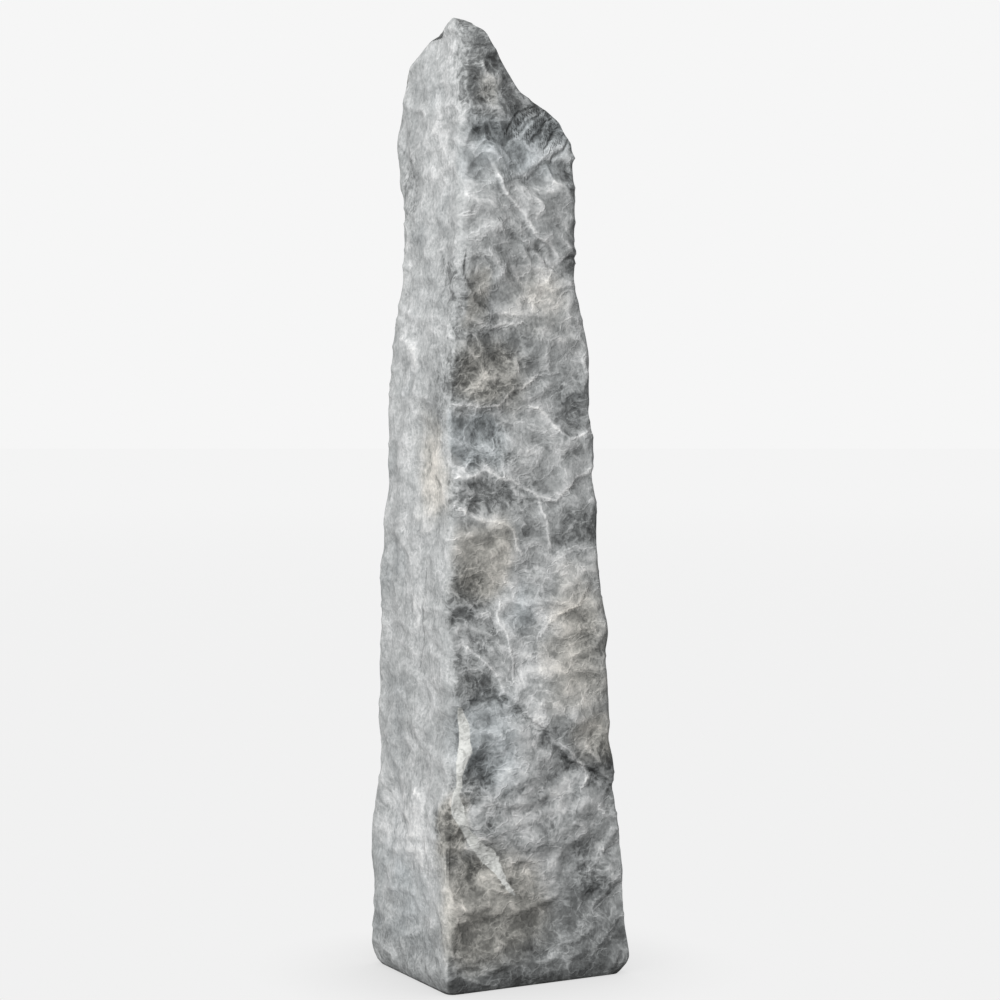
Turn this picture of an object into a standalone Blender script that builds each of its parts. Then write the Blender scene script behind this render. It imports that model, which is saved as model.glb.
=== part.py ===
"""A standing stone: one natural block of veined grey marble, 1.5 m tall, in metres with +Z up.

The real stone is a single piece. It was split from its bed along four rough sides, broke off at the
top and was sawn flat underneath, so it stands on its own. Here it starts as a box with loop cuts.
Every vertex knows its place in that box as three shares from 0 to 1: across (left to right), deep
(front to back) and up. From those shares it is carried to the stone's sides, whose outlines are the
lines of (height, offset) stations below, and then pushed in or out by the ledges, ribs and scars of
the rough rock.
"""

import math

import bmesh
import bpy
import numpy as np
from mathutils import Vector, noise

HEIGHT = 1.50  # the driving size: the peak of the stone above the ground

# The four sides, as (height, offset from the stone's middle line), with a station only where a side
# turns. The front and the left side are nearly straight. The right side and the back have shallow
# bulges and notches. The front and the back are wide.
LEFT_SIDE = ((0.00, -0.165), (0.45, -0.155), (1.00, -0.145), (1.25, -0.125), (HEIGHT, -0.115))
FRONT_SIDE = ((0.00, -0.130), (HEIGHT, -0.100))
RIGHT_SIDE = (
    (0.00, 0.165), (0.04, 0.170), (0.13, 0.160), (0.20, 0.160), (0.29, 0.145), (0.35, 0.140),
    (0.385, 0.125), (0.41, 0.140), (0.47, 0.125), (0.54, 0.135), (0.62, 0.120), (0.78, 0.110),
    (0.86, 0.110), (0.90, 0.100), (1.00, 0.105), (1.09, 0.080), (1.30, 0.080),
)  # fmt: skip
BACK_SIDE = (
    (0.00, 0.145), (0.13, 0.140), (0.22, 0.160), (0.31, 0.125), (0.40, 0.140), (0.64, 0.140),
    (0.78, 0.115), (0.92, 0.115), (1.10, 0.085), (1.22, 0.100), (1.32, 0.130), (1.40, 0.110),
    (HEIGHT, 0.100),
)  # fmt: skip
OUTLINE_EASE = 0.008  # half the height over which an outline turns at a station
USUAL_DEPTH = 0.22

# The broken top, as (share of the side, drop below the peak): along its front edge from left to
# right, and along its left edge from front to back.
TOP_FRONT_EDGE = (
    (0.00, 0.020), (0.14, 0.020), (0.25, 0.050), (0.50, 0.115), (0.80, 0.140), (1.00, 0.205),
)  # fmt: skip
TOP_LEFT_EDGE = (
    (0.00, 0.020), (0.14, 0.000), (0.38, 0.015), (0.58, 0.020), (0.88, 0.050), (1.00, 0.090),
)  # fmt: skip
TOP_FALL_BEHIND = 0.05  # how far the break falls from the front right corner to the back right one
TOP_PEAK_SHARE = 1 / 3  # share of the width over which the peak behind the left corner dies out
TOP_ROUGHNESS = 0.016
TOP_LUMP_SPACING = 0.075
TOP_RIM_SHARE = 1 / 3  # share of the width at the rim over which the break's roughness sets in

CORNER_ROUNDING = 0.012
FOOT_ROUNDING = 0.012

# Loop cuts of the box. Each triangle left on the stone is then about 20 mm on its long side.
CUTS_ACROSS = 16
CUTS_DEEP = 13
CUTS_UP = 73
CROWDING_ROUND = 0.45  # how far the upright cuts move from the middle of a side to its corners
CROWDING_UP = 0.20  # how far the level cuts move towards the foot and the top

# Rough rock, as the height of each form and the distance over which it repeats.
ROCK_SEED = 5
SWELL, SWELL_SPACING = 0.006, 0.26
LEDGE_STEP, LEDGE_SPACING, LEDGE_STRETCH = 0.0055, 0.19, 1.6
LEDGES_PER_WAVE = 3.5
RISER_SHARE = 0.25  # share of a ledge's run that is its steep riser
CREASE, CREASE_SPACING, CREASE_STRETCH = 0.0100, 0.075, 1.5
CREASE_SHARPNESS = 3.0
CREASE_GROUND = 0.35  # height of the plain surface between hollow and crest
CREASE_ON_NARROW_SIDES = 0.6
RIB, RIB_SPACING, RIB_STRETCH = 0.006, 0.040, 6.0
WANDER, WANDER_SPACING = 0.030, 0.13  # how far the forms stray from straight lines
FADE_AT_FOOT = 0.10
CORNER_CALM = 0.5  # share of the relief that is missing on the corners

# Shell-shaped hollows where chips were struck off, as (x, y, height), radius and depth.
HOLLOWS = (
    ((0.120, -0.115, 0.430), 0.030, 0.007),
    ((0.010, -0.120, 0.640), 0.055, 0.006),
    ((-0.060, -0.110, 1.020), 0.060, 0.007),
    ((0.050, -0.100, 1.180), 0.045, 0.006),
    ((-0.155, 0.060, 0.290), 0.060, 0.008),
    ((-0.130, 0.000, 0.860), 0.055, 0.006),
    ((0.145, 0.030, 0.330), 0.065, 0.010),
    ((0.110, -0.020, 0.900), 0.060, 0.010),
    ((0.040, 0.125, 0.520), 0.080, 0.011),
    ((-0.050, 0.105, 1.090), 0.070, 0.010),
)  # fmt: skip

# A long flake is gone from the front face beside its left corner. Its broken edge, as
# (height, offset):
SCAR_EDGE = (
    (0.13, -0.060), (0.21, -0.070), (0.25, -0.105), (0.30, -0.130), (0.33, -0.145), (0.37, -0.140),
    (0.45, -0.125),
)  # fmt: skip
SCAR_DEPTH = 0.016
SCAR_BEVEL = 0.014
SCAR_FADE = 0.05  # height over which the scar sets in at its two ends

# A slab still in place on the right of the front face ends in a slanting lip. Its lower edge, as
# (offset, height):
LIP_EDGE = ((-0.07, 0.455), (0.00, 0.400), (0.04, 0.360), (0.08, 0.335), (0.16, 0.300))
LIP_HEIGHT = 0.015
LIP_BEVEL = 0.014
LIP_REACH = 0.26  # height over which the slab thins out again above its lip
LIP_START = 0.12  # width over which the slab rises from its left end

STONE_GREY = (0.30, 0.31, 0.31, 1.0)
STONE_ROUGHNESS = 0.82
SHARP_EDGE_DEGREES = 50
TINY = 1e-6


def eased(share):
    """A smooth step from 0 to 1."""
    share = min(1.0, max(0.0, share))
    return share * share * (3 - 2 * share)


def along(stations, place):
    """Reads a line of stations at a place."""
    places, values = zip(*stations)
    return float(np.interp(place, places, values))


def outline(stations, height):
    """Reads a side's outline at a height, with the turns at its stations eased a little."""
    readings = [along(stations, height + step * OUTLINE_EASE) for step in (-1, 0, 1)]
    return sum(readings) / len(readings)


def crowded(share, crowding):
    """Moves evenly spaced loop cuts towards both ends of a side, where the stone turns its corners."""
    return share - crowding * math.sin(2 * math.pi * share) / (2 * math.pi)


def top_height(across, deep):
    """Height of the broken top. It follows both edges, and falls away to the back right corner."""
    rise = TOP_LEFT_EDGE[0][1] - along(TOP_LEFT_EDGE, deep)
    if rise > 0:
        rise *= 1 - eased(across / TOP_PEAK_SHARE)
    height = HEIGHT - along(TOP_FRONT_EDGE, across) + rise - TOP_FALL_BEHIND * across * deep
    place = Vector((across, deep, 0.0)) * USUAL_DEPTH / TOP_LUMP_SPACING
    inside = eased(min(across, deep) / TOP_RIM_SHARE)
    return height + TOP_ROUGHNESS * inside * noise.noise(place)


def rounded_section(across, deep, height):
    """Place in the cross-section at a height, with rounded corners, and the way out of the stone."""
    left, right = outline(LEFT_SIDE, height), outline(RIGHT_SIDE, height)
    front, back = outline(FRONT_SIDE, height), outline(BACK_SIDE, height)
    half = Vector(((right - left) / 2, (back - front) / 2))
    foot = max(0.0, 1 - height / FOOT_ROUNDING)
    half -= Vector((1, 1)) * FOOT_ROUNDING * (1 - math.sqrt(1 - foot * foot))
    middle = Vector(((left + right) / 2, (front + back) / 2))
    square = Vector(((2 * across - 1) * half.x, (2 * deep - 1) * half.y))
    flat = half - Vector((1, 1)) * CORNER_ROUNDING
    core = Vector(max(-limit, min(limit, offset)) for offset, limit in zip(square, flat))
    spoke = square - core
    if spoke.length < TINY:
        return middle + square, Vector((0.0, 0.0))
    reach = max(abs(spoke.x), abs(spoke.y))
    outward = spoke.normalized()
    return middle + core + outward * reach, outward


def terraced(value):
    """Turns a steady slope into flat treads joined by short risers."""
    tread = math.floor(value)
    return tread + eased((value - tread) / RISER_SHARE)


def ledges(place):
    """Steps where thin slabs have split off the wide faces."""
    stretched = Vector((place.x / LEDGE_STRETCH, place.y, place.z))
    wave = noise.noise(stretched / LEDGE_SPACING)
    return LEDGE_STEP * terraced(LEDGES_PER_WAVE * wave)


def creases(place):
    """Crumpled ridges: sharp crests where the noise changes sign, and hollows between them."""
    stretched = Vector((place.x / CREASE_STRETCH, place.y, place.z))
    crest = 1 - min(1.0, CREASE_SHARPNESS * abs(noise.noise(stretched / CREASE_SPACING)))
    return CREASE * (crest - CREASE_GROUND)


def ribs(place):
    """Long upright ribs on the narrow sides, where the edges of the stone's layers show."""
    stretched = Vector((place.x, place.y, place.z / RIB_STRETCH))
    return RIB * noise.noise(stretched / RIB_SPACING)


def hollows(place):
    """The shell-shaped hollows, deepest in the middle."""
    depth = 0.0
    for middle, radius, deepest in HOLLOWS:
        share = (place - Vector(middle)).length / radius
        depth += deepest * eased(1 - share)
    return -depth


def flake_scar(place):
    """The hollow left by the lost flake. It deepens over a bevel from its edge towards the corner."""
    lowest, highest = SCAR_EDGE[0][0], SCAR_EDGE[-1][0]
    inward = (along(SCAR_EDGE, place.z) - place.x) / SCAR_BEVEL
    ends = eased((place.z - lowest) / SCAR_FADE) * eased((highest - place.z) / SCAR_FADE)
    return -SCAR_DEPTH * eased(inward) * ends


def slab_lip(place):
    """The slab that stands proud above its slanting lip, and thins out upwards and to the left."""
    above = place.z - along(LIP_EDGE, place.x)
    to_the_right = eased((place.x - LIP_EDGE[0][0]) / LIP_START)
    thinning = 1 - eased((above - LIP_BEVEL) / LIP_REACH)
    return LIP_HEIGHT * eased(above / LIP_BEVEL) * thinning * to_the_right


def relief(place, outward):
    """How far the rough surface stands out from the plain side at this place."""
    wander = noise.noise_vector(place / WANDER_SPACING) * WANDER
    strayed = place + wander
    wide, narrow = outward.y**2, outward.x**2
    proud = SWELL * noise.noise(place / SWELL_SPACING) + hollows(place)
    proud += wide * (ledges(strayed) + creases(strayed))
    proud += narrow * (ribs(strayed) + CREASE_ON_NARROW_SIDES * creases(strayed))
    if outward.y < 0:
        proud += wide * slab_lip(place) + min(1.0, 2 * wide) * flake_scar(place)
    proud *= 1 - CORNER_CALM * 4 * wide * narrow
    return proud * eased(place.z / FADE_AT_FOOT)


def stone_point(across, deep, up):
    """Carries a vertex of the box to its place on the stone."""
    across = crowded(across, CROWDING_ROUND)
    deep = crowded(deep, CROWDING_ROUND)
    height = crowded(up, CROWDING_UP) * top_height(across, deep)
    flat, outward = rounded_section(across, deep, height)
    place = Vector((flat.x, flat.y, height))
    on_a_side = min(across, deep, 1 - across, 1 - deep) < TINY
    if on_a_side:
        place.xy += outward * relief(place, outward)
    return place


def cut_box():
    """A unit box with its corner at the origin and loop cuts across, deep and up."""
    mesh = bmesh.new()
    bmesh.ops.create_cube(mesh, size=1.0)
    bmesh.ops.translate(mesh, verts=mesh.verts, vec=(0.5, 0.5, 0.5))
    for axis, cuts in enumerate((CUTS_ACROSS, CUTS_DEEP, CUTS_UP)):
        running = [e for e in mesh.edges if abs(e.verts[0].co[axis] - e.verts[1].co[axis]) > TINY]
        bmesh.ops.subdivide_edges(mesh, edges=running, cuts=cuts, use_grid_fill=True)
    return mesh


def sawn_foot(mesh):
    """Joins the flat faces underneath into the one sawn face that the stone stands on."""
    under = [face for face in mesh.faces if all(vertex.co.z < TINY for vertex in face.verts)]
    bmesh.ops.dissolve_faces(mesh, faces=under, use_verts=True)


def centred(mesh):
    """Puts the middle of the stone's box over the origin."""
    corners = np.array([vertex.co for vertex in mesh.verts])
    middle = (corners.min(axis=0) + corners.max(axis=0)) / 2
    bmesh.ops.translate(mesh, verts=mesh.verts, vec=(-middle[0], -middle[1], 0.0))


def stone_material():
    material = bpy.data.materials.new("grey_marble")
    material.use_nodes = True
    surface = material.node_tree.nodes["Principled BSDF"]
    surface.inputs["Base Color"].default_value = STONE_GREY
    surface.inputs["Roughness"].default_value = STONE_ROUGHNESS
    surface.inputs["Metallic"].default_value = 0.0
    return material


def standing_stone():
    noise.seed_set(ROCK_SEED)
    mesh = cut_box()
    for vertex in mesh.verts:
        vertex.co = stone_point(*vertex.co)
    sawn_foot(mesh)
    centred(mesh)
    bmesh.ops.recalc_face_normals(mesh, faces=mesh.faces)
    data = bpy.data.meshes.new("standing_stone")
    mesh.to_mesh(data)
    mesh.free()
    data.shade_smooth()
    data.set_sharp_from_angle(angle=math.radians(SHARP_EDGE_DEGREES))
    data.materials.append(stone_material())
    stone = bpy.data.objects.new("standing_stone", data)
    bpy.context.scene.collection.objects.link(stone)
    return stone


for old in list(bpy.data.objects):
    bpy.data.objects.remove(old)
standing_stone()
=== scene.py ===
# %% [markdown]
# # A standing stone of veined grey marble
#
# The stone is a roughly split block one and a half metres tall: one sawn foot to stand on, four
# broken sides and a slanting broken top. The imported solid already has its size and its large
# forms. This lesson sets up a plain pale studio, gives the solid a finer skin of the same shape,
# wrinkles that skin as split marble wrinkles, and marks it with clouds, veins and stains.

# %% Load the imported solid
import math

import bmesh
import bpy
import numpy as np
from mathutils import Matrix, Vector, noise


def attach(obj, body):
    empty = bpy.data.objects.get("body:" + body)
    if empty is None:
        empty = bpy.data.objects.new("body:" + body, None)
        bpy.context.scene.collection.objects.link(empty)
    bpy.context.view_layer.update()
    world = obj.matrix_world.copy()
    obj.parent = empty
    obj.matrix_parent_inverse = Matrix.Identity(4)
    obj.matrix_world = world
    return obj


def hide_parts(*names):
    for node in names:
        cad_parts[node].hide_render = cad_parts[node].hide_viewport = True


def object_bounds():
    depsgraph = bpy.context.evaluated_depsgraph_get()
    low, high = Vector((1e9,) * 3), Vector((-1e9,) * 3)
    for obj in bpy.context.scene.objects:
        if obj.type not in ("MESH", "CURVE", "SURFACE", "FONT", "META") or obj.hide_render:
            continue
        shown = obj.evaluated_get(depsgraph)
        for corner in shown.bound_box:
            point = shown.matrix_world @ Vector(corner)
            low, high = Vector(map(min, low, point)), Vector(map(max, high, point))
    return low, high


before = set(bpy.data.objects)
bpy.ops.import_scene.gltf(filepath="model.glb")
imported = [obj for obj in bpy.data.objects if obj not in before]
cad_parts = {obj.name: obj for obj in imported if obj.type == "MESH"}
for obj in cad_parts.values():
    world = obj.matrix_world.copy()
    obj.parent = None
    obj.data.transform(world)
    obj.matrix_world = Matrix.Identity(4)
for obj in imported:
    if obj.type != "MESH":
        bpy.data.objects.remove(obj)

STONE = "standing_stone"
MM = 0.001

cad_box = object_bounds()
low, high = cad_box
HEIGHT = high.z / MM
print("stone", [round((b - a) / MM) for a, b in zip(low, high)], "mm")

# %% [markdown]
# ## Camera
#
# A stone this tall is looked at from a few steps away, with a long lens so that its upright edges
# stay nearly parallel. The camera stands a little over half the stone's height, and looks down so
# slightly that the horizon falls just above the middle of the picture. Its direction is turned
# from the +Y axis, which shows a wide side almost square on and a narrow side at a slant. It could
# be aimed by eye in the viewport, but worked out from the horizon it is the same on every run.

# %% Place the camera
PICTURE_SIZE = 1000
LENS = 80.0
SENSOR = 36.0
EYE = Vector((-1.683, -3.134, 0.8425))
LOOK_TURN = math.radians(28.26)
HORIZON_ROW = 444
VIEW_REACH = 1000.0  # metres, well past the far edge of the floor

pixels_per_slope = LENS / SENSOR * PICTURE_SIZE
look_drop = (PICTURE_SIZE / 2 - HORIZON_ROW) / pixels_per_slope
look = Vector((math.sin(LOOK_TURN), math.cos(LOOK_TURN), -look_drop))

camera_data = bpy.data.cameras.new("camera")
camera_data.lens = LENS
camera_data.sensor_width = SENSOR
camera_data.clip_end = VIEW_REACH
camera = bpy.data.objects.new("camera", camera_data)
camera.location = EYE
camera.rotation_euler = look.to_track_quat("-Z", "Y").to_euler()
bpy.context.collection.objects.link(camera)
bpy.context.scene.camera = camera
print("camera looks down by", round(math.degrees(math.atan(look_drop)), 2), "degrees")

# %% [markdown]
# ## Colours and shader nodes
#
# Colours are easiest to choose as the hex codes of a paint chart, but a shader works in linear
# light, so one function turns the first into the second. A second small function adds a shader
# node, sets it and wires it, which keeps the materials below short enough to read.

# %% Two helpers for materials
def linear(hex_code):
    """Turn a paint-chart colour such as "#a3a6a7" to linear light, with full opacity."""
    parts = [int(hex_code[i:i + 2], 16) / 255 for i in (1, 3, 5)]
    return tuple(p / 12.92 if p <= 0.04045 else ((p + 0.055) / 1.055) ** 2.4 for p in parts) + (1.0,)


def add_node(tree, kind, feeds=None, **settings):
    """Add a node: settings go on the node, feeds into its sockets as a value or as a link."""
    node = tree.nodes.new(kind)
    for name, value in settings.items():
        setattr(node, name, value)
    for socket, feed in (feeds or {}).items():
        if isinstance(feed, bpy.types.NodeSocket):
            tree.links.new(feed, node.inputs[socket])
        else:
            node.inputs[socket].default_value = feed
    return node


print("mid grey in linear light is", round(linear("#808080")[0], 3))

# %% [markdown]
# ## Studio floor
#
# The studio is a white painted floor that runs out to the horizon. A photographer would hang a
# paper roll and curve it down under the stone. A wide flat disc does the same here, and has no
# curve that could show from another side.

# %% Lay the floor
FLOOR_RADIUS = 400.0
FLOOR_SIDES = 96

floor_mesh = bpy.data.meshes.new("studio_floor")
floor_shape = bmesh.new()
bmesh.ops.create_circle(floor_shape, cap_ends=True, segments=FLOOR_SIDES, radius=FLOOR_RADIUS)
floor_shape.to_mesh(floor_mesh)
floor_shape.free()
floor = bpy.data.objects.new("studio_floor", floor_mesh)
bpy.context.collection.objects.link(floor)
print("floor has", len(floor_mesh.vertices), "points")

# %% [markdown]
# The camera sees only the floor's own glow, dimmed close to the stone, so that the stone leaves
# just a faint soft shadow where it meets the ground. To every other ray the floor is a mid grey,
# so that it doesn't light the stone strongly from below.

# %% Paint the floor
FLOOR_NEAR = linear("#f1f1f1")
FLOOR_FAR = linear("#f4f4f4")
FLOOR_NEAR_REACH = 2.0
FLOOR_FAR_REACH = 30.0
FLOOR_BOUNCE = linear("#8c8c8c")
SHADE_REACH = 0.22
SHADE_DEPTH = 0.30
SHADE_SAMPLES = 8

# Matt white studio paint, rolled on: it has no gloss, so it shows one even pale tone.
paint = bpy.data.materials.new("matt_white_studio_paint")
paint.use_nodes = True
tree = paint.node_tree
tree.nodes.clear()
place = add_node(tree, "ShaderNodeTexCoord").outputs["Object"]
reach = add_node(tree, "ShaderNodeVectorMath", {0: place}, operation="LENGTH").outputs["Value"]
far = add_node(tree, "ShaderNodeMapRange", {
    "Value": reach, "From Min": FLOOR_NEAR_REACH, "From Max": FLOOR_FAR_REACH,
}, interpolation_type="SMOOTHSTEP").outputs["Result"]
tone = add_node(tree, "ShaderNodeMix", {0: far, 6: FLOOR_NEAR, 7: FLOOR_FAR}, data_type="RGBA")
openness = add_node(tree, "ShaderNodeAmbientOcclusion", {"Distance": SHADE_REACH}, samples=SHADE_SAMPLES)
shade = add_node(tree, "ShaderNodeMapRange", {
    "Value": openness.outputs["AO"], "To Min": 1.0 - SHADE_DEPTH, "To Max": 1.0,
}).outputs["Result"]
glow = add_node(tree, "ShaderNodeEmission", {"Color": tone.outputs[2], "Strength": shade})
matt = add_node(tree, "ShaderNodeBsdfDiffuse", {"Color": FLOOR_BOUNCE})
seen = add_node(tree, "ShaderNodeLightPath").outputs["Is Camera Ray"]
both = add_node(tree, "ShaderNodeMixShader", {0: seen, 1: matt.outputs[0], 2: glow.outputs[0]})
add_node(tree, "ShaderNodeOutputMaterial", {"Surface": both.outputs[0]})
floor_mesh.materials.append(paint)
print("floor material has", len(tree.nodes), "nodes")

# %% [markdown]
# ## Sky and lamps
#
# One large soft lamp stands far to the left, which makes the narrow side bright and the wide side
# calm, as a window would. A weaker one behind the stone keeps its far sides readable. The sky is
# an even white that fills the shadows. A surrounding image could light the stone too, but two
# lamps and a plain sky are easier to understand and to change. Each lamp is listed as (name,
# place, size in metres, power in watts).

# %% Set the sky and the lamps
SKY_SEEN = linear("#f6f6f6")
SKY_STRENGTH = 0.36
LAMP_AIM = Vector((0.0, 0.0, 0.75))
LAMPS = (
    ("key_lamp", Vector((-5.6, -3.8, 5.3)), 3.0, 1000.0),
    ("fill_lamp", Vector((4.6, 4.2, 3.4)), 3.5, 330.0),
)

world = bpy.data.worlds.new("pale_sky")
world.use_nodes = True
tree = world.node_tree
tree.nodes.clear()
seen = add_node(tree, "ShaderNodeLightPath").outputs["Is Camera Ray"]
sky_light = add_node(tree, "ShaderNodeBackground", {"Color": SKY_SEEN, "Strength": SKY_STRENGTH})
sky_seen = add_node(tree, "ShaderNodeBackground", {"Color": SKY_SEEN})
sky = add_node(tree, "ShaderNodeMixShader", {0: seen, 1: sky_light.outputs[0], 2: sky_seen.outputs[0]})
add_node(tree, "ShaderNodeOutputWorld", {"Surface": sky.outputs[0]})
bpy.context.scene.world = world
bpy.context.scene.view_settings.view_transform = "Standard"

for name, stand, size, watts in LAMPS:
    lamp_data = bpy.data.lights.new(name, "AREA")
    lamp_data.shape = "SQUARE"
    lamp_data.size = size
    lamp_data.energy = watts
    lamp = bpy.data.objects.new(name, lamp_data)
    lamp.location = stand
    lamp.rotation_euler = (LAMP_AIM - stand).to_track_quat("-Z", "Y").to_euler()
    bpy.context.collection.objects.link(lamp)
    print(name, "is", round((LAMP_AIM - stand).length, 2), "m away")

# %% [markdown]
# ## A finer skin
#
# Split marble is wrinkled at every scale, down to a few millimetres, and the solid is too coarse
# for that. The skin could be sculpted by hand or remeshed, but then it would no longer follow
# the solid closely. Here a copy of the solid is merged, its triangles are joined in pairs into
# four-sided faces wherever they fit, and a Subdivision Surface modifier splits those twice.

# %% Copy the solid and merge it
MERGE_DISTANCE = 0.01 * MM
JOIN_BEND, JOIN_SKEW = math.radians(60), math.radians(70)  # the most that a joined pair may have

shell = bmesh.new()
shell.from_mesh(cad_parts[STONE].data)
bmesh.ops.remove_doubles(shell, verts=shell.verts, dist=MERGE_DISTANCE)
bmesh.ops.join_triangles(shell, faces=shell.faces, angle_face_threshold=JOIN_BEND,
                         angle_shape_threshold=JOIN_SKEW)
print("the solid has", len(shell.faces), "faces once its triangles are joined")

# %% [markdown]
# A subdivided edge goes round unless it is creased. The sharp rim of the sawn foot is creased in
# full, so that the underside stays flat and the stone stands where the solid stands. The rim of
# the broken top is creased less, so that it stays crisp without looking cut, and so are the
# upright edges just below the peak, which bring it to a point.

# %% Crease the rims
# How far up a face looks: the foot looks up by less than the first number, a side by less than
# the second, and the broken top by more than the third.
FOOT_UP, SIDE_UP, TOP_UP = -0.999, 0.3, 0.5
PEAK_REACH = 70.0 * MM
PEAK_TURN = math.radians(35)
FOOT_CREASE, BROKEN_CREASE = 1.0, 0.7

creases = shell.edges.layers.float.new("crease_edge")
for edge in shell.edges:
    slopes = sorted(face.normal.z for face in edge.link_faces)
    at_foot = slopes[0] < FOOT_UP < slopes[-1]
    on_rim = slopes[0] < SIDE_UP and slopes[-1] > TOP_UP
    at_peak = max(end.co.z for end in edge.verts) > high.z - PEAK_REACH
    if at_foot:
        edge[creases] = FOOT_CREASE
    elif on_rim or (at_peak and edge.calc_face_angle(0.0) > PEAK_TURN):
        edge[creases] = BROKEN_CREASE
print("creased edges:", sum(edge[creases] > 0.0 for edge in shell.edges))

# %% [markdown]
# The modifier's result is taken as a mesh of its own, because the wrinkles and the marks that
# follow are put on its points.

# %% Subdivide
SKIN_LEVELS = 2

cage_mesh = bpy.data.meshes.new("stone_cage")
shell.to_mesh(cage_mesh)
shell.free()
cage = bpy.data.objects.new("stone_cage", cage_mesh)
bpy.context.collection.objects.link(cage)
rounding = cage.modifiers.new("rounding", "SUBSURF")
rounding.levels = SKIN_LEVELS
rounding.render_levels = SKIN_LEVELS
finished = cage.evaluated_get(bpy.context.evaluated_depsgraph_get())
skin_mesh = bpy.data.meshes.new_from_object(finished)
skin_mesh.name = "stone_skin"
bpy.data.objects.remove(cage)
skin = bpy.data.objects.new("stone_skin", skin_mesh)
bpy.context.collection.objects.link(skin)
print("skin has", len(skin_mesh.vertices), "points and", len(skin_mesh.polygons), "faces")

# %% [markdown]
# ## Measuring along the faces
#
# From here on the skin is handled as a table of points and one of normals, which is much faster
# than one point at a time. The points are in millimetres, because that is how stone is measured.

# %% Read the skin
ROCK_SEED = 3
noise.seed_set(ROCK_SEED)

count = len(skin_mesh.vertices)
flat = np.empty(count * 3)
skin_mesh.vertices.foreach_get("co", flat)
points = flat.reshape(-1, 3) / MM
skin_mesh.vertices.foreach_get("normal", flat)
normals = flat.reshape(-1, 3).copy()
height = points[:, 2]
print("points lie", round(height.min()), "to", round(height.max()), "mm up")

# %% [markdown]
# Marks on a block are easiest to place as a mason would chalk them: so many millimetres up from
# the foot, and so many to the right (+) or left (-) of an upright corner. The corner is found on
# the skin itself, level by level.

# %% Two helpers for measuring
LEVEL_STEP = 50.0


def between(value, start, end):
    """Rise smoothly from 0 at start to 1 at end."""
    share = np.clip((value - start) / (end - start), 0.0, 1.0)
    return share * share * (3.0 - 2.0 * share)


def unroll(points, side):
    """Distance along the faces from a corner, in mm: side is -1 for front left, 1 for back right."""
    levels = np.arange(LEVEL_STEP / 2, points[:, 2].max() - LEVEL_STEP, LEVEL_STEP)
    places = []
    for level in levels:
        ring = points[np.abs(points[:, 2] - level) < LEVEL_STEP / 2]
        furthest = ring[np.argmax(side * (ring[:, 0] + ring[:, 1]))]
        places.append(furthest[0] - furthest[1])
    along_here = points[:, 0] - points[:, 1]
    return -side * (along_here - np.interp(points[:, 2], levels, places))


print("halfway between 0 and 1 is", between(0.5, 0.0, 1.0))

# %% [markdown]
# Two corners carry the marks: the one between the wide front and the narrow left side, and the
# opposite one. The same beds of stone run right through the block, so the two hidden sides carry
# the marks of the seen ones, turned upside down. Nothing in stone is straight, so both distances
# are made to sway a little with a slow noise.

# %% Unroll the faces from both corners
SWAY_SPACING = 34.0
SWAY_REACH = 11.0
FACING = (0.10, 0.45)  # how far a normal must point one way to count as that side's
NARROW_FACING = (0.45, 0.80)

sway = np.array([noise.noise_vector(Vector(place) / SWAY_SPACING) for place in points]) * SWAY_REACH
up = height + sway[:, 2]
up_far = HEIGHT - up
across = unroll(points, -1) + sway[:, 0]
across_far = unroll(points, 1) + sway[:, 1]
seen_side = between(np.maximum(-normals[:, 0], -normals[:, 1]), *FACING)
far_side = between(np.maximum(normals[:, 0], normals[:, 1]), *FACING) * (1.0 - seen_side)
narrow_side = between(np.abs(normals[:, 0]), *NARROW_FACING)


def on_both_corners(measure):
    """Measure something on the seen sides and, upside down, on the hidden ones."""
    return measure(across, up) * seen_side + measure(across_far, up_far) * far_side


print("faces unroll from", round(across.min()), "to", round(across.max()), "mm")

# %% [markdown]
# ## Clouds and stains
#
# Grey marble is limestone baked deep underground. Its carbon gathers into blue-black clouds
# between pale blooms of clean calcite, and iron seeps in and stains the rest a faint brown. Such
# marks could be painted on an image, which would stretch at the corners. Here the fine marbling
# comes from noise in the material, and only the marks that make this stone itself are placed,
# each a soft ellipse: (across, up, half width, half height, strength). The noise in the material
# frays their edges later, so that no ellipse shows.

# %% Place the clouds, blooms and stains
# Two of the dark clouds, at (165, 400) and (240, 350), lie along the lip: they are painted shade of its
# overhang.
DARK_CLOUDS = (
    (26, 1440, 36, 70, 1.5), (85, 1360, 60, 50, 1.1), (160, 1335, 60, 30, 0.9),
    (215, 1275, 35, 40, 0.7), (200, 1150, 30, 40, 0.6), (30, 1000, 40, 30, 0.8),
    (50, 945, 60, 45, 1.1), (215, 900, 25, 60, 0.6), (60, 830, 50, 45, 0.6),
    (60, 765, 70, 30, 0.9), (235, 700, 40, 40, 0.7), (30, 610, 30, 40, 1.1),
    (45, 540, 35, 25, 0.7), (35, 485, 35, 30, 0.9), (255, 530, 20, 60, 0.5),
    (165, 400, 50, 14, 0.6), (240, 350, 50, 25, 0.7), (34, 318, 26, 38, 0.8),
    (8, 280, 24, 50, 1.3), (70, 245, 28, 18, 1.1), (235, 255, 50, 35, 0.2), (35, 190, 30, 35, 0.5),
    (255, 165, 40, 40, 0.6), (-25, 1090, 40, 60, 0.5), (-30, 930, 40, 80, 0.4),
    (-180, 1250, 30, 70, 0.5),
)
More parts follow.
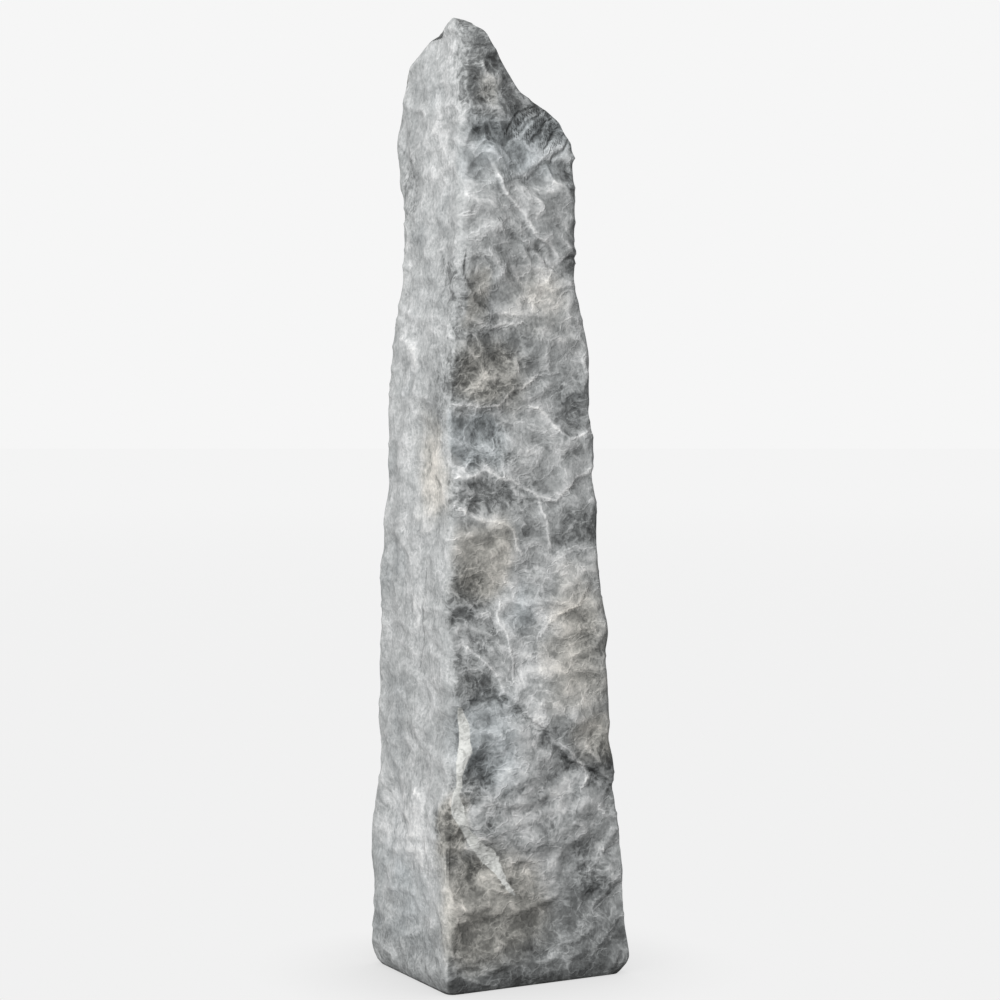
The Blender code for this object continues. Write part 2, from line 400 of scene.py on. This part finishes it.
PALE_BLOOMS = (
    (-40, 1450, 40, 50, 0.2), (-60, 1330, 45, 110, 0.4), (-150, 990, 30, 60, 0.6),
    (-65, 790, 45, 60, 0.7), (-110, 600, 60, 90, 0.4), (-120, 245, 80, 50, 0.7),
    (50, 1385, 14, 20, 0.7), (160, 1245, 50, 30, 0.4), (15, 1215, 15, 35, 0.4),
    (45, 1115, 20, 30, 0.4), (115, 1075, 60, 50, 0.5), (140, 1020, 70, 20, 0.5),
    (140, 620, 60, 50, 0.4), (75, 575, 30, 50, 0.4), (150, 495, 30, 20, 1.1),
    (110, 390, 40, 50, 0.9), (90, 318, 20, 25, 0.8), (150, 200, 35, 25, 0.9),
    (150, 280, 110, 60, 0.6),
)
RUST_STAINS = (
    (45, 1385, 20, 25, 0.6), (35, 1065, 20, 40, 0.8), (130, 1050, 70, 60, 0.5),
    (70, 950, 60, 50, 0.8), (-65, 805, 50, 80, 0.8), (60, 665, 50, 55, 1.0),
    (220, 530, 60, 100, 0.8), (250, 380, 40, 40, 0.8), (15, 255, 30, 50, 1.0),
    (65, 130, 85, 80, 1.1),
)
BLUE_CLOUDS = (
    (100, 1310, 80, 40, 0.5), (40, 850, 45, 40, 0.8), (145, 590, 45, 40, 0.5),
    (55, 385, 50, 70, 0.4), (-130, 130, 90, 80, 0.25),
)
FOOT_SHADE_HEIGHT = (50.0, 170.0)  # painted shade darkens the stone up to about here above the foot
# the narrow sides face the lamp, so they get this share less of the painted foot shade
NARROW_SHADE_CUT = 0.55
print("clouds and stains:", sum(map(len, (DARK_CLOUDS, PALE_BLOOMS, RUST_STAINS, BLUE_CLOUDS))))

# %% [markdown]
# A cloud is even in its middle and fades near its edge. The power below makes each ellipse a
# little square, which keeps that middle wide.

# %% Spread the marks over the skin
MARK_POWER = 3
MARK_FALL = 0.6


def soft_marks(marks, across, up):
    """The strongest of a list of soft ellipses at each point."""
    total = np.zeros(len(across))
    for middle, level, half_width, half_height, strength in marks:
        apart = np.abs((across - middle) / half_width) ** MARK_POWER
        apart += np.abs((up - level) / half_height) ** MARK_POWER
        total = np.maximum(total, strength * np.exp(-MARK_FALL * apart))
    return total


dark = on_both_corners(lambda a, u: soft_marks(DARK_CLOUDS, a, u))
pale = on_both_corners(lambda a, u: soft_marks(PALE_BLOOMS, a, u))
rust = on_both_corners(lambda a, u: soft_marks(RUST_STAINS, a, u))
blue = on_both_corners(lambda a, u: soft_marks(BLUE_CLOUDS, a, u))
# painted shade: the stone is darker towards the foot, and less so on the narrow sides
painted_foot_shade = (1.0 - between(height, *FOOT_SHADE_HEIGHT)) * (1.0 - NARROW_SHADE_CUT * narrow_side)
print("dark cover", round(float((dark > 0.4).mean()), 3), "pale", round(float((pale > 0.4).mean()), 3))

# %% [markdown]
# ## Veins, ridges and cracks
#
# Where the marble once cracked under pressure, white calcite filled the gaps. Calcite is tougher
# than the rest, so the strongest veins stand up as low ridges, and later cracks stayed open and
# dark. One crack is the lip of a slab that is still in place. Near the top the break left feather
# marks, which run in from the rim side by side. Each line is a few (across, up) places.

# %% Chalk the veins and cracks
RIDGED_VEINS = (
    ((110, 1255), (140, 1280), (180, 1290), (215, 1270)),
    ((75, 1250), (88, 1222), (110, 1190), (138, 1158), (178, 1132), (230, 1155)),
    ((15, 900), (90, 900), (120, 925), (150, 945)),
    ((10, 795), (95, 793), (140, 760), (180, 755), (205, 785), (255, 805)),
    ((165, 550), (200, 575), (235, 590), (255, 620)),
)
FLUSH_VEINS = (
    ((10, 1045), (60, 1022), (120, 1030)),
    ((150, 895), (190, 870), (210, 855), (245, 862)),
    ((12, 742), (60, 728), (105, 704), (122, 672)),
    ((150, 757), (158, 725), (177, 690)),
    ((90, 590), (95, 540), (105, 480)),
    ((30, 525), (60, 510), (85, 460)),
    ((190, 375), (220, 345), (235, 310)),
)
LIP = ((90, 455), (155, 400), (195, 350), (290, 305))
OPEN_CRACKS = (
    ((35, 452), (85, 455)),
    ((75, 1180), (110, 1148), (160, 1116)),
    ((15, 1130), (20, 1085), (45, 1055)),
    ((-75, 640), (-85, 560), (-110, 500)),
)
FEATHER_COUNT = 5
FEATHER_START, FEATHER_RUN, FEATHER_STEP = (114, 1367), (-27, -36), (20, -11)

feathers = []
for number in range(FEATHER_COUNT):
    start = [first + number * step for first, step in zip(FEATHER_START, FEATHER_STEP)]
    feathers.append((start, [place + run for place, run in zip(start, FEATHER_RUN)]))
print("veins", len(RIDGED_VEINS) + len(FLUSH_VEINS), "cracks", 1 + len(OPEN_CRACKS) + len(feathers))

# %% [markdown]
# Painting thin lines on a mesh point by point would make beads of them, because the points are
# further apart than a vein is wide. So each point keeps its distance from the nearest line, and
# the shader draws the vein where that passes zero.

# %% Measure how far the lines are
FAR_AWAY = 1e6  # mm, further than any line


def distance_from(line, across, up):
    """Signed distance from a line of places in mm, positive on its left."""
    best = np.full(len(across), FAR_AWAY)
    side = np.ones(len(across))
    for (a0, u0), (a1, u1) in zip(line, line[1:]):
        run, rise = a1 - a0, u1 - u0
        share = ((across - a0) * run + (up - u0) * rise) / (run * run + rise * rise)
        share = np.clip(share, 0.0, 1.0)
        gap = np.hypot(across - a0 - share * run, up - u0 - share * rise)
        turn = run * (up - u0) - rise * (across - a0)
        nearer = gap < best
        best = np.where(nearer, gap, best)
        side = np.where(nearer, np.where(turn < 0, -1.0, 1.0), side)
    return best * side


def nearest_line(lines, across, up):
    """Signed distance from the nearest of several lines."""
    signed = np.array([distance_from(line, across, up) for line in lines])
    return np.take_along_axis(signed, np.abs(signed).argmin(axis=0)[None], axis=0)[0]


def line_gap(lines):
    """Signed distance on whichever pair of sides the point belongs to."""
    seen = nearest_line(lines, across, up)
    hidden = nearest_line(lines, across_far, up_far)
    return np.where(seen_side >= far_side, seen, hidden)


vein_gap = line_gap(RIDGED_VEINS + FLUSH_VEINS)
crack_gap = line_gap([LIP, *OPEN_CRACKS, *feathers])
ridge_gap = line_gap([*RIDGED_VEINS, LIP])
lip_gap = line_gap([LIP])
print("nearest vein is up to", round(np.abs(vein_gap).max()), "mm away")

# %% [markdown]
# A line counts only near itself, and only on the four sides. Below the lip the stone is darkened
# by a painted shadow, as under its overhang.

# %% Weigh the lines
VEIN_HALF_WIDTH = 3.0
CRACK_HALF_WIDTH = 2.0
LINE_REACH = (9.0, 16.0)
LIP_SHADOW_REACH = (5.0, 26.0)
LIP_SHADOW = 0.75

# painted shadow in a band just below the lip, added to the dark clouds
painted_lip_shadow = between(-lip_gap, -LIP_SHADOW_REACH[0], 0.0) * (1.0 - between(-lip_gap, *LIP_SHADOW_REACH))
dark = np.maximum(dark, LIP_SHADOW * painted_lip_shadow)
on_sides = np.clip(seen_side + far_side, 0.0, 1.0)
vein_strength = (1.0 - between(np.abs(vein_gap), *LINE_REACH)) * on_sides
crack_strength = (1.0 - between(np.abs(crack_gap), *LINE_REACH)) * on_sides
print("vein points", int((vein_strength > 0.5).sum()), "crack points", int((crack_strength > 0.5).sum()))

# %% [markdown]
# ## The calcite seam
#
# A flake has come away from the front corner and left a low step. Its riser is a seam of nearly
# white calcite, as long as a forearm and at most two fingers wide, which shows because the stone
# broke along it. It is listed from the foot upwards as (up, left edge, right edge). Its edges
# follow only part of the sway, because too much of it would make them jagged.

# %% Follow the seam
CALCITE_SEAM = (
    (145, 105, 111), (170, 92, 101), (196, 65, 95), (212, 56, 93), (228, 48, 74), (250, 38, 51),
    (275, 24, 43), (290, 10, 32), (305, 1, 13), (335, -4, 9), (355, -6, 17), (375, -4, 27),
    (415, 3, 24), (442, 6, 13),
)
SEAM_SOFT = 2.5
SEAM_CALM = 0.75  # share of the sway that the seam's edges don't follow
# how dark the painted shade along the seam's step is
SEAM_STEP_SHADE = 0.45
SEAM_SHADE_REACH = (-18.0, -4.0)  # painted shade along the step reaches this far outside the seam

seam_up, seam_left, seam_right = np.array(CALCITE_SEAM, float).T
beside = across - SEAM_CALM * sway[:, 0]
from_left = beside - np.interp(height, seam_up, seam_left)
from_right = np.interp(height, seam_up, seam_right) - beside
from_ends = np.minimum(height - seam_up[0], seam_up[-1] - height)
inside = np.minimum(np.minimum(from_left, from_right), from_ends)
calcite = between(inside, -SEAM_SOFT, SEAM_SOFT) * seen_side
# painted shade just outside the seam, along its step
dark = np.maximum(dark, SEAM_STEP_SHADE * between(inside, *SEAM_SHADE_REACH) * seen_side)
print("seam points", int((calcite > 0.5).sum()))

# %% [markdown]
# ## Wrinkles
#
# A split face isn't smooth: it follows thousands of small crystal beds and shows crumpled folds,
# like a cloth that was pushed together. Noise folded at zero gives narrow crests with broad
# valleys, which is that look. Two sizes of fold are laid over one another and bent by another
# noise so that they wander. They could be sculpted, or left to the shader as bump, but real folds
# also shape the outline, and their heights are needed again for the tone of the stone.

# %% Work out the folds
FOLD_SPACING = 74.0
CRINKLE_SPACING = 31.0
BEND_SPACING = 48.0
BEND_REACH = 34.0
PATCH_SPACING = 130.0
FOLD_FLATTENING = 2.0  # folds run more across the stone than up it
CRINKLE_FLATTENING = 1.3
CREST_ROUNDING = 0.05  # share of the noise over which a worn crest is rounded off
CREST_POWER = 3  # more makes a crest narrower
SMOOTHEST = 0.45  # share of the crinkles that is left in the smoothest patches
PATCH_CONTRAST = 1.4


def crest(place, spacing):
    """Worn crests with broad valleys between, from 0 to 1."""
    away = math.hypot(noise.noise(place / spacing), CREST_ROUNDING) - CREST_ROUNDING
    return max(1.0 - 2.0 * away, 0.0) ** CREST_POWER


folds = np.empty(count)
crinkles = np.empty(count)
for index, (x, y, z) in enumerate(points):
    here = Vector((x, y, z))
    bend = noise.noise_vector(here / BEND_SPACING) * BEND_REACH
    patch = min(max(0.5 + PATCH_CONTRAST * noise.noise(here / PATCH_SPACING), 0.0), 1.0)
    rough = SMOOTHEST + (1.0 - SMOOTHEST) * patch
    folds[index] = crest(Vector((x, y, z * FOLD_FLATTENING)) + bend, FOLD_SPACING)
    crinkles[index] = rough * crest(Vector((x, y, z * CRINKLE_FLATTENING)) + bend, CRINKLE_SPACING)
print("folds", round(folds.min(), 2), round(folds.mean(), 2), round(folds.max(), 2))

# %% [markdown]
# The skin is now pushed along its own normals, by less than a centimetre. Folds are shallower
# on the narrow sides, where the beds are cut edge on, and on the upright corners, which wear
# round. Along each ridge the stone is proud on one side and hollow on the other, as where a thin
# bed has split away.

# %% Add up the pushes
FOLD_DEPTH, FOLD_GROUND = 3.8, 0.55  # the ground is plain stone, between hollow and crest
CRINKLE_DEPTH, CRINKLE_GROUND = 1.6, 0.4
CORNER_CALM = 0.60
NARROW_FOLDS = 0.85
CLOUD_DROP = 1.0
VEIN_RISE, VEIN_SHOULDER = 1.8, 4.5
CRACK_DROP, CRACK_SHOULDER = 1.2, 4.0
RIDGE_STEP, RIDGE_REACH, RIDGE_EDGE = 2.0, 13.0, 2.0
SEAM_STEP, SEAM_END_FADE = 2.6, (-5.0, 20.0)


def split_bed(gap):
    """Proud on the positive side of an edge and hollow on the other, fading away from it."""
    return np.sign(gap) * np.exp(-np.abs(gap) / RIDGE_REACH) * between(np.abs(gap), 0.0, RIDGE_EDGE)


ridges = split_bed(ridge_gap) * on_sides
on_seam = between(from_ends, *SEAM_END_FADE) * seen_side
corner = 4.0 * normals[:, 0] ** 2 * normals[:, 1] ** 2  # 1 on an upright corner, 0 on a side
push = FOLD_DEPTH * (folds - FOLD_GROUND) + CRINKLE_DEPTH * (crinkles - CRINKLE_GROUND)
push *= (1.0 - CORNER_CALM * corner) * (1.0 - (1.0 - NARROW_FOLDS) * narrow_side)
push -= CLOUD_DROP * dark
push += VEIN_RISE * vein_strength * np.exp(-(vein_gap / VEIN_SHOULDER) ** 2)
push -= CRACK_DROP * crack_strength * np.exp(-(crack_gap / CRACK_SHOULDER) ** 2)
push += RIDGE_STEP * ridges
push += SEAM_STEP * np.minimum(split_bed(from_left), 0.0) * on_seam
print("pushes so far", round(push.min(), 1), "to", round(push.max(), 1), "mm")

# %% [markdown]
# A chip is missing from the rim behind the peak, which leaves the peak steep on that side. The
# sawn foot isn't pushed at all, and no point may leave the solid's box.

# %% Chip the rim and push the skin
CHIP_ACROSS, CHIP_REACH, CHIP_DEPTH = -92.0, 28.0, 7.0
CHIP_STRIP = 7.0  # the chip sits at the top of a strip of skin this far to either side
FOOT_CALM = 14.0

beside_chip = points[np.abs(unroll(points, -1) - CHIP_ACROSS) < CHIP_STRIP]
chip_middle = beside_chip[beside_chip[:, 2].argmax()]
push -= CHIP_DEPTH * np.exp(-(np.linalg.norm(points - chip_middle, axis=1) / CHIP_REACH) ** 2)
push *= between(height, 0.0, FOOT_CALM)
moved = points + normals * push[:, None]
moved = np.clip(moved, np.array(low) / MM, np.array(high) / MM)
skin_mesh.vertices.foreach_set("co", (moved * MM).ravel())
skin_mesh.update()
print("push", round(push.min(), 1), "to", round(push.max(), 1), "mm")

# %% [markdown]
# ## From skin to shader
#
# A shader can't call the functions above, so each mark is stored on the skin's points as an
# attribute, one number a point. Colour can't be kept this way in enough detail, but a soft mark
# can, and the noise in the shader adds the detail.

# %% Keep the marks where the shader can read them
MARKS = {
    "dark": dark, "pale": pale, "warmth": rust - blue, "calcite": calcite, "painted_foot_shade": painted_foot_shade,
    "ridge": ridges, "narrow": narrow_side, "fold": folds, "crinkle": crinkles,
    "vein_offset": vein_gap / VEIN_HALF_WIDTH, "vein_strength": vein_strength,
    "crack_offset": crack_gap / CRACK_HALF_WIDTH, "crack_strength": crack_strength,
}
for name, values in MARKS.items():
    layer = skin_mesh.attributes.new(name, "FLOAT", "POINT")
    layer.data.foreach_set("value", values.astype(np.float32))
print("kept", len(MARKS), "marks on the skin")

# %% [markdown]
# ## Split grey marble
#
# Veined grey marble, split and never polished: a dull crystalline skin that scatters light
# evenly and hardly shines. An image texture would have to be wrapped round the corners, so
# the pattern is worked out in space instead, and runs through them as it does in the block. Its
# lightness is one number, which a ramp turns into greys from carbon black to calcite white. The
# clouds and blooms set it first, noise frays their edges, and veins and cracks are drawn on top.

# %% Start the marble and bend its pattern
WARP_SPACING = 45.0
WARP_REACH = 44.0

marble = bpy.data.materials.new("split_grey_marble")
marble.use_nodes = True
tree = marble.node_tree
tree.nodes.clear()
place = add_node(tree, "ShaderNodeTexCoord").outputs["Object"]
warp = add_node(tree, "ShaderNodeTexNoise", {
    "Vector": place, "Scale": 1.0 / (WARP_SPACING * MM), "Detail": 3.0, "Roughness": 0.55,
}).outputs["Color"]
centred = add_node(tree, "ShaderNodeVectorMath", {0: warp, 1: (0.5, 0.5, 0.5)}, operation="SUBTRACT")
bent_place = add_node(tree, "ShaderNodeVectorMath", {
    0: centred.outputs[0], 1: (WARP_REACH * MM,) * 3, 2: place,
}, operation="MULTIPLY_ADD").outputs[0]
marks = {}
for name in MARKS:
    marks[name] = add_node(tree, "ShaderNodeAttribute", attribute_name=name).outputs["Fac"]
print("the pattern wanders by up to", WARP_REACH / 2, "mm")

# %% [markdown]
# The marbling has lumps of three real sizes: clouds as wide as a hand, mottling as wide as a
# thumb, and flecks of a few crystals. On the narrow sides the beds are cut edge on, so a fourth
# noise is drawn out upright into fibres. Two more make the drawn veins wobble and the surface
# grainy.

# %% Lumps of every size
CLOUD_SPACING = 85.0
MOTTLE_SPACING = 24.0
FLECK_SPACING = 5.5
WOBBLE_SPACING = 10.0
GRAIN_SPACING = 2.6  # crystals are about 1 mm, too fine to show, so they are drawn coarser
FIBRE_SPACING = 4.5
FIBRE_STRETCH = 0.14

stretched = add_node(tree, "ShaderNodeMapping", {"Vector": bent_place, "Scale": (1.0, 1.0, FIBRE_STRETCH)})
lumps = {}
for name, at, spacing, detail, roughness in (
    ("cloud", bent_place, CLOUD_SPACING, 4.0, 0.5), ("mottle", bent_place, MOTTLE_SPACING, 4.0, 0.5),
    ("fleck", place, FLECK_SPACING, 3.0, 0.5), ("wobble", place, WOBBLE_SPACING, 3.0, 0.6),
    ("grain", place, GRAIN_SPACING, 3.0, 0.6), ("fibre", stretched.outputs[0], FIBRE_SPACING, 4.0, 0.6),
):
    lumps[name] = add_node(tree, "ShaderNodeTexNoise", {
        "Vector": at, "Scale": 1.0 / (spacing * MM), "Detail": detail, "Roughness": roughness,
    }).outputs["Fac"]
print("noises:", ", ".join(lumps))

# %% [markdown]
# A cloud's edge is never a clean line: fingers of one bed reach into the next. The same frayed
# noise eats into the dark clouds where it is high and swells the pale blooms there.

# %% Fray the clouds and blooms
FRAY = 3.0
FAINTEST, FULLEST = 0.03, 0.85  # strengths at which a torn mark begins to show and is complete


def weighted(start, *terms):
    """A sum that begins at a number and adds each value times its weight."""
    total = start
    for value, weight in terms:
        total = add_node(tree, "ShaderNodeMath", {0: value, 1: weight, 2: total},
                         operation="MULTIPLY_ADD").outputs[0]
    return total


def frayed(mark, share):
    """A placed mark whose edge is torn by the noise, from 0 to 1."""
    torn = weighted(1.0, (fray, share))
    torn = add_node(tree, "ShaderNodeMath", {0: mark, 1: torn}, operation="MULTIPLY").outputs[0]
    return add_node(tree, "ShaderNodeMapRange", {
        "Value": torn, "From Min": FAINTEST, "From Max": FULLEST,
    }, interpolation_type="SMOOTHSTEP").outputs["Result"]


fray = weighted(-0.80, (lumps["mottle"], 1.0), (marks["fold"], 0.20), (lumps["fleck"], 0.4))
dark_cover = frayed(marks["dark"], -FRAY)
pale_cover = frayed(marks["pale"], FRAY)
print("so far", len(tree.nodes), "nodes")

# %% [markdown]
# Between the large veins runs a web of hair-thin ones. A noise passes its middle value along
# thin curling lines, which is just how such a web looks, so the web is drawn there. It has three
# layers: two come and go with the noise, and the swirls show only on the dark clouds.

# %% Web of fine veins
def web_of(at, spacing, detail, width, cover, start, end):
    """Thin curling lines, where a noise passes its middle value, on part of the stone."""
    level = add_node(tree, "ShaderNodeTexNoise", {
        "Vector": at, "Scale": 1.0 / (spacing * MM), "Detail": detail, "Roughness": 0.55,
    }).outputs["Fac"]
    middle = add_node(tree, "ShaderNodeMath", {0: level, 1: 0.5}, operation="SUBTRACT").outputs[0]
    away = add_node(tree, "ShaderNodeMath", {0: middle}, operation="ABSOLUTE").outputs[0]
    line = add_node(tree, "ShaderNodeMapRange", {"Value": away, "From Min": width, "From Max": 0.0},
                    interpolation_type="SMOOTHSTEP").outputs["Result"]
    where = add_node(tree, "ShaderNodeMapRange", {"Value": cover, "From Min": start, "From Max": end},
                     interpolation_type="SMOOTHSTEP").outputs["Result"]
    return add_node(tree, "ShaderNodeMath", {0: line, 1: where}, operation="MULTIPLY").outputs[0]


WEB_SPACING = 28.0
THREAD_SPACING = 12.0
SWIRL_SPACING = 19.0
web = web_of(bent_place, WEB_SPACING, detail=4.0, width=0.06,
             cover=lumps["cloud"], start=0.38, end=0.58)
threads = web_of(bent_place, THREAD_SPACING, detail=4.0, width=0.07,
                 cover=lumps["mottle"], start=0.36, end=0.60)
swirls = web_of(bent_place, SWIRL_SPACING, detail=4.0, width=0.10,
                cover=dark_cover, start=0.0, end=1.0)
print("so far", len(tree.nodes), "nodes")

# %% [markdown]
# The folds show as much by tone as by shape: their crests are given a painted highlight, and the
# hollows beside them painted shade. Noise breaks both up, so that no crest runs on unbroken. A few
# long, nearly level wrinkles are left from the parting of the beds. Each is drawn as a pale line,
# a painted highlight on its crest, and they show least on the narrow sides.

# %% Painted highlight on crests, painted shade in hollows, and wrinkles
WRINKLE_SPACING = 46.0
WRINKLE_FLATTENING = 1.6
CREST_HIGHLIGHT_RANGE, HOLLOW_SHADE_RANGE = (0.65, 1.05), (0.30, -0.05)

# the crest tone is a painted highlight on the fold crests, and the hollow tone painted shade beside them
broken_fold = weighted(-0.60, (marks["fold"], 1.0), (lumps["mottle"], 1.2))
crests, hollow_shade = (
    add_node(tree, "ShaderNodeMapRange", {"Value": broken_fold, "From Min": start, "From Max": end},
             interpolation_type="SMOOTHSTEP").outputs["Result"]
    for start, end in (CREST_HIGHLIGHT_RANGE, HOLLOW_SHADE_RANGE))
lying = add_node(tree, "ShaderNodeMapping", {
    "Vector": bent_place, "Scale": (1.0, 1.0, WRINKLE_FLATTENING),
})
# each wrinkle is drawn pale, a painted highlight on its crest, and also goes into the bump
wrinkles = web_of(lying.outputs[0], WRINKLE_SPACING, detail=2.0, width=0.045,
                  cover=marks["narrow"], start=1.6, end=0.2)
print("so far", len(tree.nodes), "nodes")

# %% [markdown]
# The drawn veins and cracks appear where their kept distance is near zero. Each vein is drawn
# twice: once thin and bright, and once wide and faint, as calcite has soaked into the stone.

# %% Draw the veins and cracks
LINE_WOBBLE = 2.8
VEIN_WIDTH, HALO_WIDTH, CRACK_WIDTH = 1.5, 3.8, 2.6  # in half widths of the line


def drawn_line(name, width):
    """A soft line where the kept distance passes zero, wobbling by about its own width."""
    offset = weighted(-LINE_WOBBLE / 2, (lumps["wobble"], LINE_WOBBLE), (marks[name + "_offset"], 1.0))
    away = add_node(tree, "ShaderNodeMath", {0: offset}, operation="ABSOLUTE").outputs[0]
    line = add_node(tree, "ShaderNodeMapRange", {"Value": away, "From Min": width, "From Max": 0.0},
                    interpolation_type="SMOOTHSTEP").outputs["Result"]
    return add_node(tree, "ShaderNodeMath", {0: line, 1: marks[name + "_strength"]},
                    operation="MULTIPLY").outputs[0]


veins = drawn_line("vein", VEIN_WIDTH)
halos = drawn_line("vein", HALO_WIDTH)
cracks = drawn_line("crack", CRACK_WIDTH)
print("so far", len(tree.nodes), "nodes")

# %% [markdown]
# All of it comes together as one lightness. The weights say how much each thing matters: the
# painted shade at the foot and the dark clouds darken the stone most, and veins and blooms lighten
# it most. The narrow sides are calmer, show fibres instead, and are painted a little lighter, as
# lit by the lamp.

# %% Lightness
NARROW_CALM = -0.50
MIDDLE_LIGHTNESS = 0.30

# crests and crinkle heights add painted highlight, and hollows add painted shade
swell = weighted(
    -0.34, (lumps["cloud"], 0.34), (lumps["mottle"], 0.20), (crests, 0.12), (hollow_shade, -0.08),
    (marks["crinkle"], 0.10))
calm = weighted(1.0, (marks["narrow"], NARROW_CALM))
swell = add_node(tree, "ShaderNodeMath", {0: swell, 1: calm}, operation="MULTIPLY").outputs[0]
fibre = weighted(-0.5, (lumps["fibre"], 1.0))
fibre = add_node(tree, "ShaderNodeMath", {0: fibre, 1: marks["narrow"]}, operation="MULTIPLY").outputs[0]
# ridge lightens the proud side of each split bed and darkens its hollow side, and narrow lightens the
# narrow sides as lit by the lamp: painted light and shade
lightness = weighted(
    MIDDLE_LIGHTNESS, (swell, 1.0), (lumps["fleck"], 0.30), (dark_cover, -0.19), (marks["dark"], -0.08),
    (pale_cover, 0.17), (web, 0.09), (threads, 0.08), (swirls, 0.16), (wrinkles, 0.11), (veins, 0.19),
    (halos, 0.12), (cracks, -0.11), (marks["ridge"], 0.07), (fibre, 0.40), (marks["narrow"], 0.025),
    # painted shade at the foot
    (marks["painted_foot_shade"], -0.22))
print("so far", len(tree.nodes), "nodes")

# %% [markdown]
# A ramp turns that number into the greys of the stone, from dark carbon to clean calcite.

# %% Greys
GREYS = ((0.00, "#3a3b3b"), (0.22, "#686a6a"), (0.45, "#969898"), (0.68, "#b8b9b9"), (1.00, "#dcdcda"))

ramp = add_node(tree, "ShaderNodeValToRGB", {"Fac": lightness})
stops = ramp.color_ramp.elements
while len(stops) < len(GREYS):
    stops.new(0.5)
for stop, (position, hex_code) in zip(stops, GREYS):
    stop.position = position
    stop.color = linear(hex_code)
print("greys at", [round(stop.position, 2) for stop in stops])

# %% [markdown]
# The grey is tinted very slightly: warmer where iron has stained it and cooler where carbon is
# dense. The seam of clean calcite lies over everything, milky and a little uneven.

# %% Tints and the seam
RUST_TINT = (1.05, 1.0, 0.93, 1.0)
BLUE_TINT = (0.965, 1.0, 1.025, 1.0)
NO_TINT = (1.0, 1.0, 1.0, 1.0)
CALCITE_WHITE = linear("#c0c1be")
CALCITE_SHADE = linear("#9c9d9a")
COLD_RANGE, STAIN_RANGE = (-0.5, 0.0), (0.1, 0.9)
MILK_RANGE, SEAM_RANGE = (0.75, 1.15), (0.20, 0.55)

warmth = weighted(-0.42, (marks["warmth"], 1.0), (lumps["cloud"], 0.8))
milk = weighted(0.0, (lumps["fleck"], 1.0), (lumps["mottle"], 1.0))
cover = weighted(0.0, (marks["calcite"], 1.0), (fray, 0.15))
shares = []
for value, (start, end) in (
    (warmth, COLD_RANGE), (warmth, STAIN_RANGE), (milk, MILK_RANGE), (cover, SEAM_RANGE),
):
    shares.append(add_node(tree, "ShaderNodeMapRange", {
        "Value": value, "From Min": start, "From Max": end,
    }, interpolation_type="SMOOTHSTEP").outputs["Result"])
not_cold, stained, milky, on_calcite = shares
tint = add_node(tree, "ShaderNodeMix", {0: not_cold, 6: BLUE_TINT, 7: NO_TINT}, data_type="RGBA")
tint = add_node(tree, "ShaderNodeMix", {0: stained, 6: tint.outputs[2], 7: RUST_TINT}, data_type="RGBA")
tinted = add_node(tree, "ShaderNodeMix", {0: 1.0, 6: ramp.outputs["Color"], 7: tint.outputs[2]},
                  data_type="RGBA", blend_type="MULTIPLY")
milk_white = add_node(tree, "ShaderNodeMix", {0: milky, 6: CALCITE_SHADE, 7: CALCITE_WHITE},
                      data_type="RGBA")
colour = add_node(tree, "ShaderNodeMix", {0: on_calcite, 6: tinted.outputs[2], 7: milk_white.outputs[2]},
                  data_type="RGBA").outputs[2]
print("so far", len(tree.nodes), "nodes")

# %% [markdown]
# Broken crystals make the surface rough to the touch, by about a millimetre. That is finer than
# the skin's own faces, so it is given as bump.

# %% Surface
BUMP_HEIGHT = 1.6
BUMP_STRENGTH = 0.8
ROUGHNESS, ROUGHNESS_SWING = 0.70, 0.2
SHINE = 0.3
REFRACTION = 1.5  # of calcite

relief = weighted(0.0, (lumps["grain"], 0.5), (lumps["mottle"], 1.0), (veins, 0.4), (cracks, -1.0),
                  (lumps["fleck"], 0.7), (wrinkles, 0.3))
bump = add_node(tree, "ShaderNodeBump", {
    "Height": relief, "Distance": BUMP_HEIGHT * MM, "Strength": BUMP_STRENGTH,
})
shader = add_node(tree, "ShaderNodeBsdfPrincipled", {
    "Base Color": colour, "Roughness": weighted(ROUGHNESS, (lumps["mottle"], ROUGHNESS_SWING)),
    "Specular IOR Level": SHINE, "IOR": REFRACTION, "Normal": bump.outputs[0],
})
add_node(tree, "ShaderNodeOutputMaterial", {"Surface": shader.outputs[0]})
skin_mesh.materials.clear()
skin_mesh.materials.append(marble)
for polygon in skin_mesh.polygons:
    polygon.use_smooth = True
print("marble has", len(tree.nodes), "nodes")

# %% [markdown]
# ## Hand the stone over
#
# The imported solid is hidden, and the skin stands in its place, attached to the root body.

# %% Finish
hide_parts(STONE)
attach(skin, "root")

print("cad", [round(v / MM, 1) for c in cad_box for v in c])
